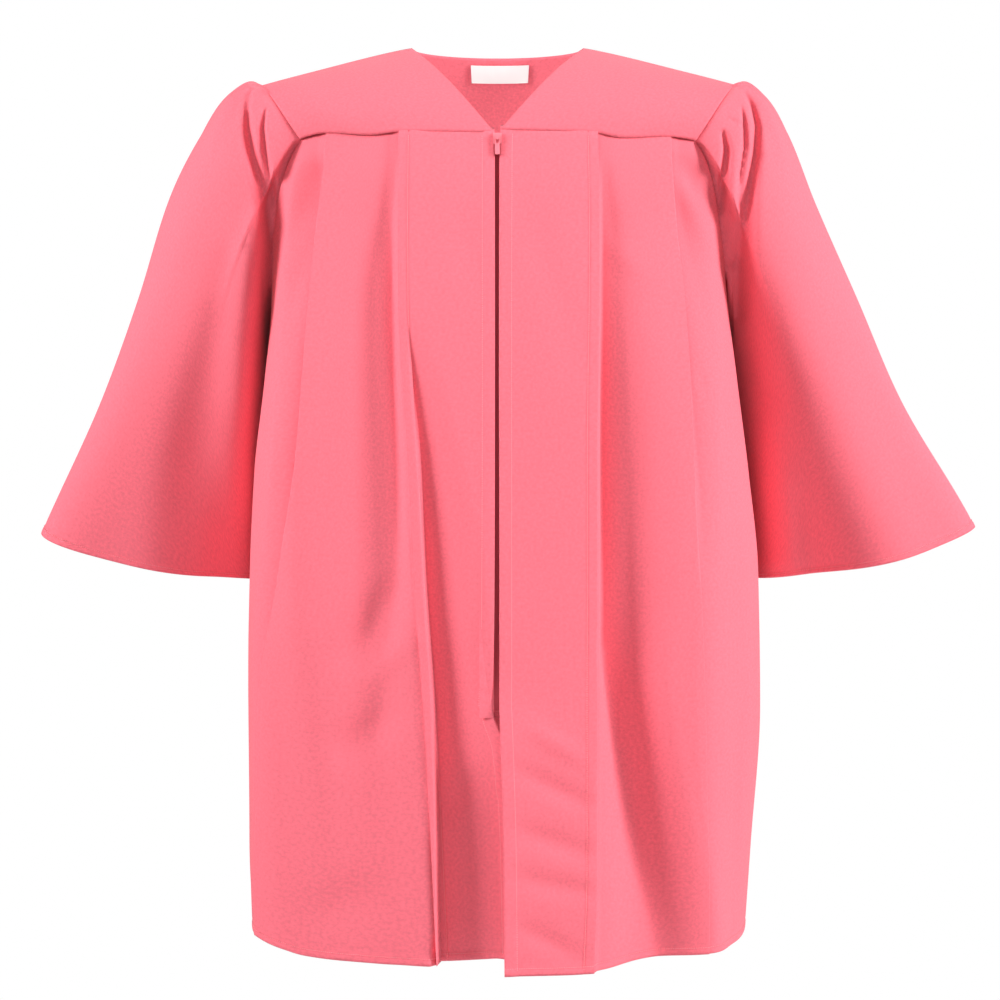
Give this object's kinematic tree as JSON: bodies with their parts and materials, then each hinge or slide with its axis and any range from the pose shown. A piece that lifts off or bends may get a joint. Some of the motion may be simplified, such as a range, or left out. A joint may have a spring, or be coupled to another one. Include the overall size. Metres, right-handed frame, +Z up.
{
  "type": "graduation gown",
  "caption": "Child's zip-front graduation gown with a pleated body, front and back yokes and wide bell sleeves, hollow as when worn.",
  "frame": {"origin": "middle of the neck opening, level with the points where neck and shoulder seams meet", "axes": "+Z up, the wearer faces -Y, the wearer's left is +X; the gown hangs down from the origin"},
  "size_m": [0.7699, 0.2965, 0.7363],
  "materials": {
    "gown_cloth": "matte woven polyester",
    "zip_tape": "matte woven tape",
    "zip_chain": "matte nylon coil",
    "slider_paint": "semi-gloss enamel",
    "label_satin": "white satin, blank"
  },
  "bodies": {
    "gown": {"back": "gown_cloth", "front_left": "gown_cloth", "front_right": "gown_cloth", "size_label": "label_satin", "sleeve_left": "gown_cloth", "sleeve_right": "gown_cloth", "yoke_back": "gown_cloth", "yoke_front_left": "gown_cloth", "yoke_front_right": "gown_cloth", "zip_bottom_stop": "zip_chain", "zip_chain": "zip_chain", "zip_slider": "slider_paint", "zip_tape_left": "zip_tape", "zip_tape_right": "zip_tape"},
    "pull_tab": {"zip_pull_tab": "slider_paint"}
  },
  "joints": [
    {"name": "pull_tab_swing", "type": "hinge", "parent": "gown", "child": "pull_tab", "pos_m": [0, -0.09437, -0.08815], "axis": [-1, 0, 0], "range_deg": [0, 170]}
  ]
}
